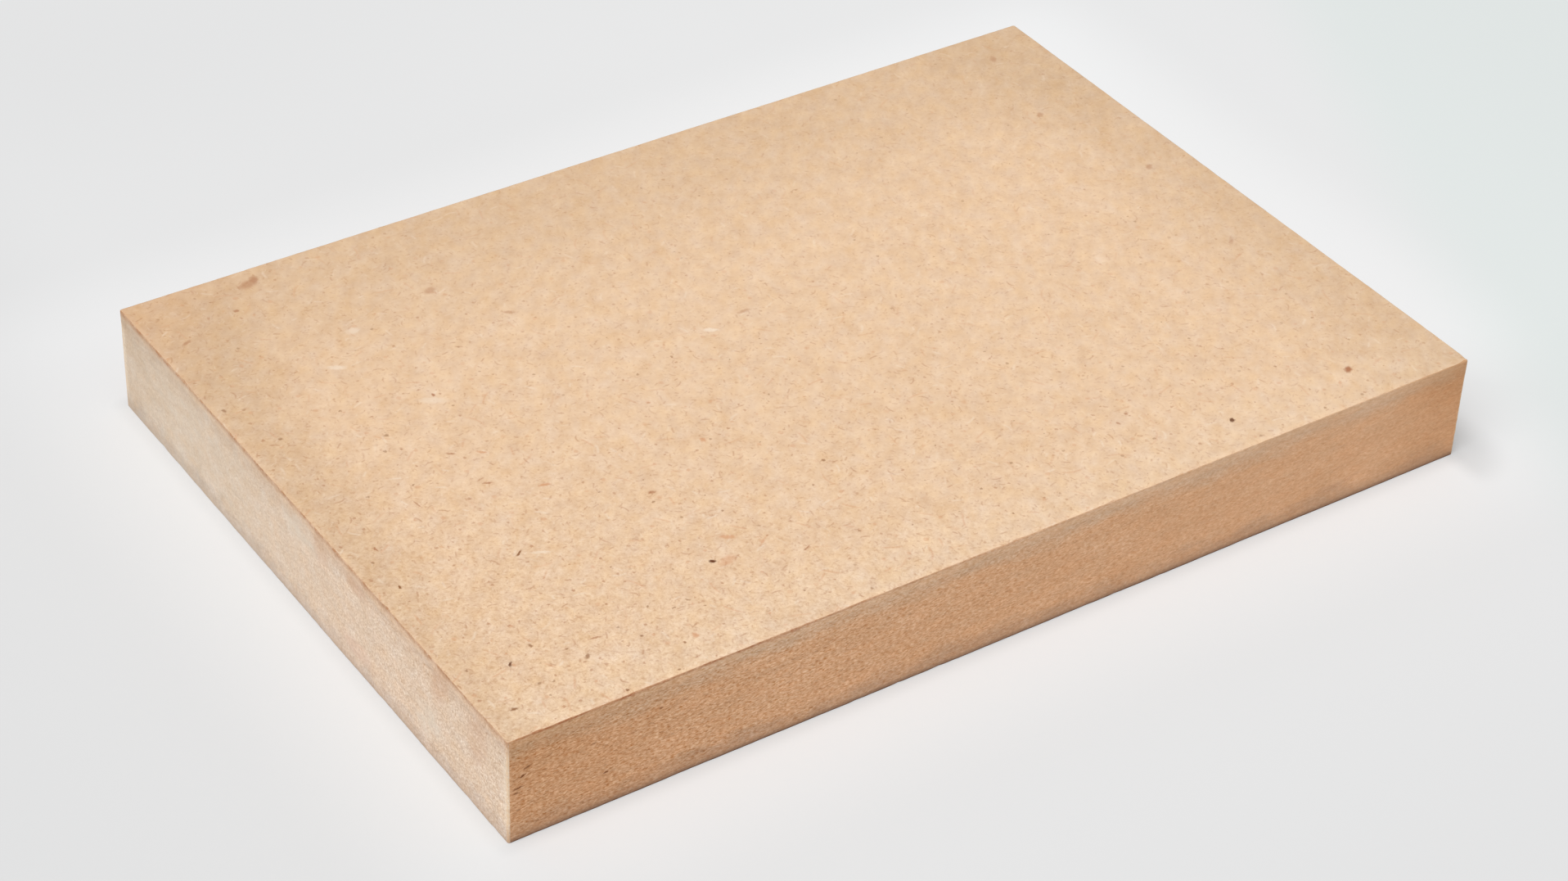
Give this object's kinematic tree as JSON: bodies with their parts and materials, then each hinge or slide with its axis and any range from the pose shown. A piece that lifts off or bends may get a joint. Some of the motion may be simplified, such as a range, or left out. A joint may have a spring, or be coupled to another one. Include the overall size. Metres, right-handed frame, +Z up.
{
  "type": "medium density fibreboard",
  "caption": "Flat rectangular piece of plain sanded fibreboard with sawn edges and lightly eased arrises, lying on one face.",
  "frame": {"origin": "middle of the bottom face, on the surface the board lies on", "axes": "+X along the length, +Y across the width, +Z up through the thickness"},
  "size_m": [0.17, 0.117, 0.018],
  "materials": {
    "fibreboard": "matte, sanded faces and sawn edges"
  },
  "bodies": {
    "root": {"board": "fibreboard"}
  },
  "joints": []
}
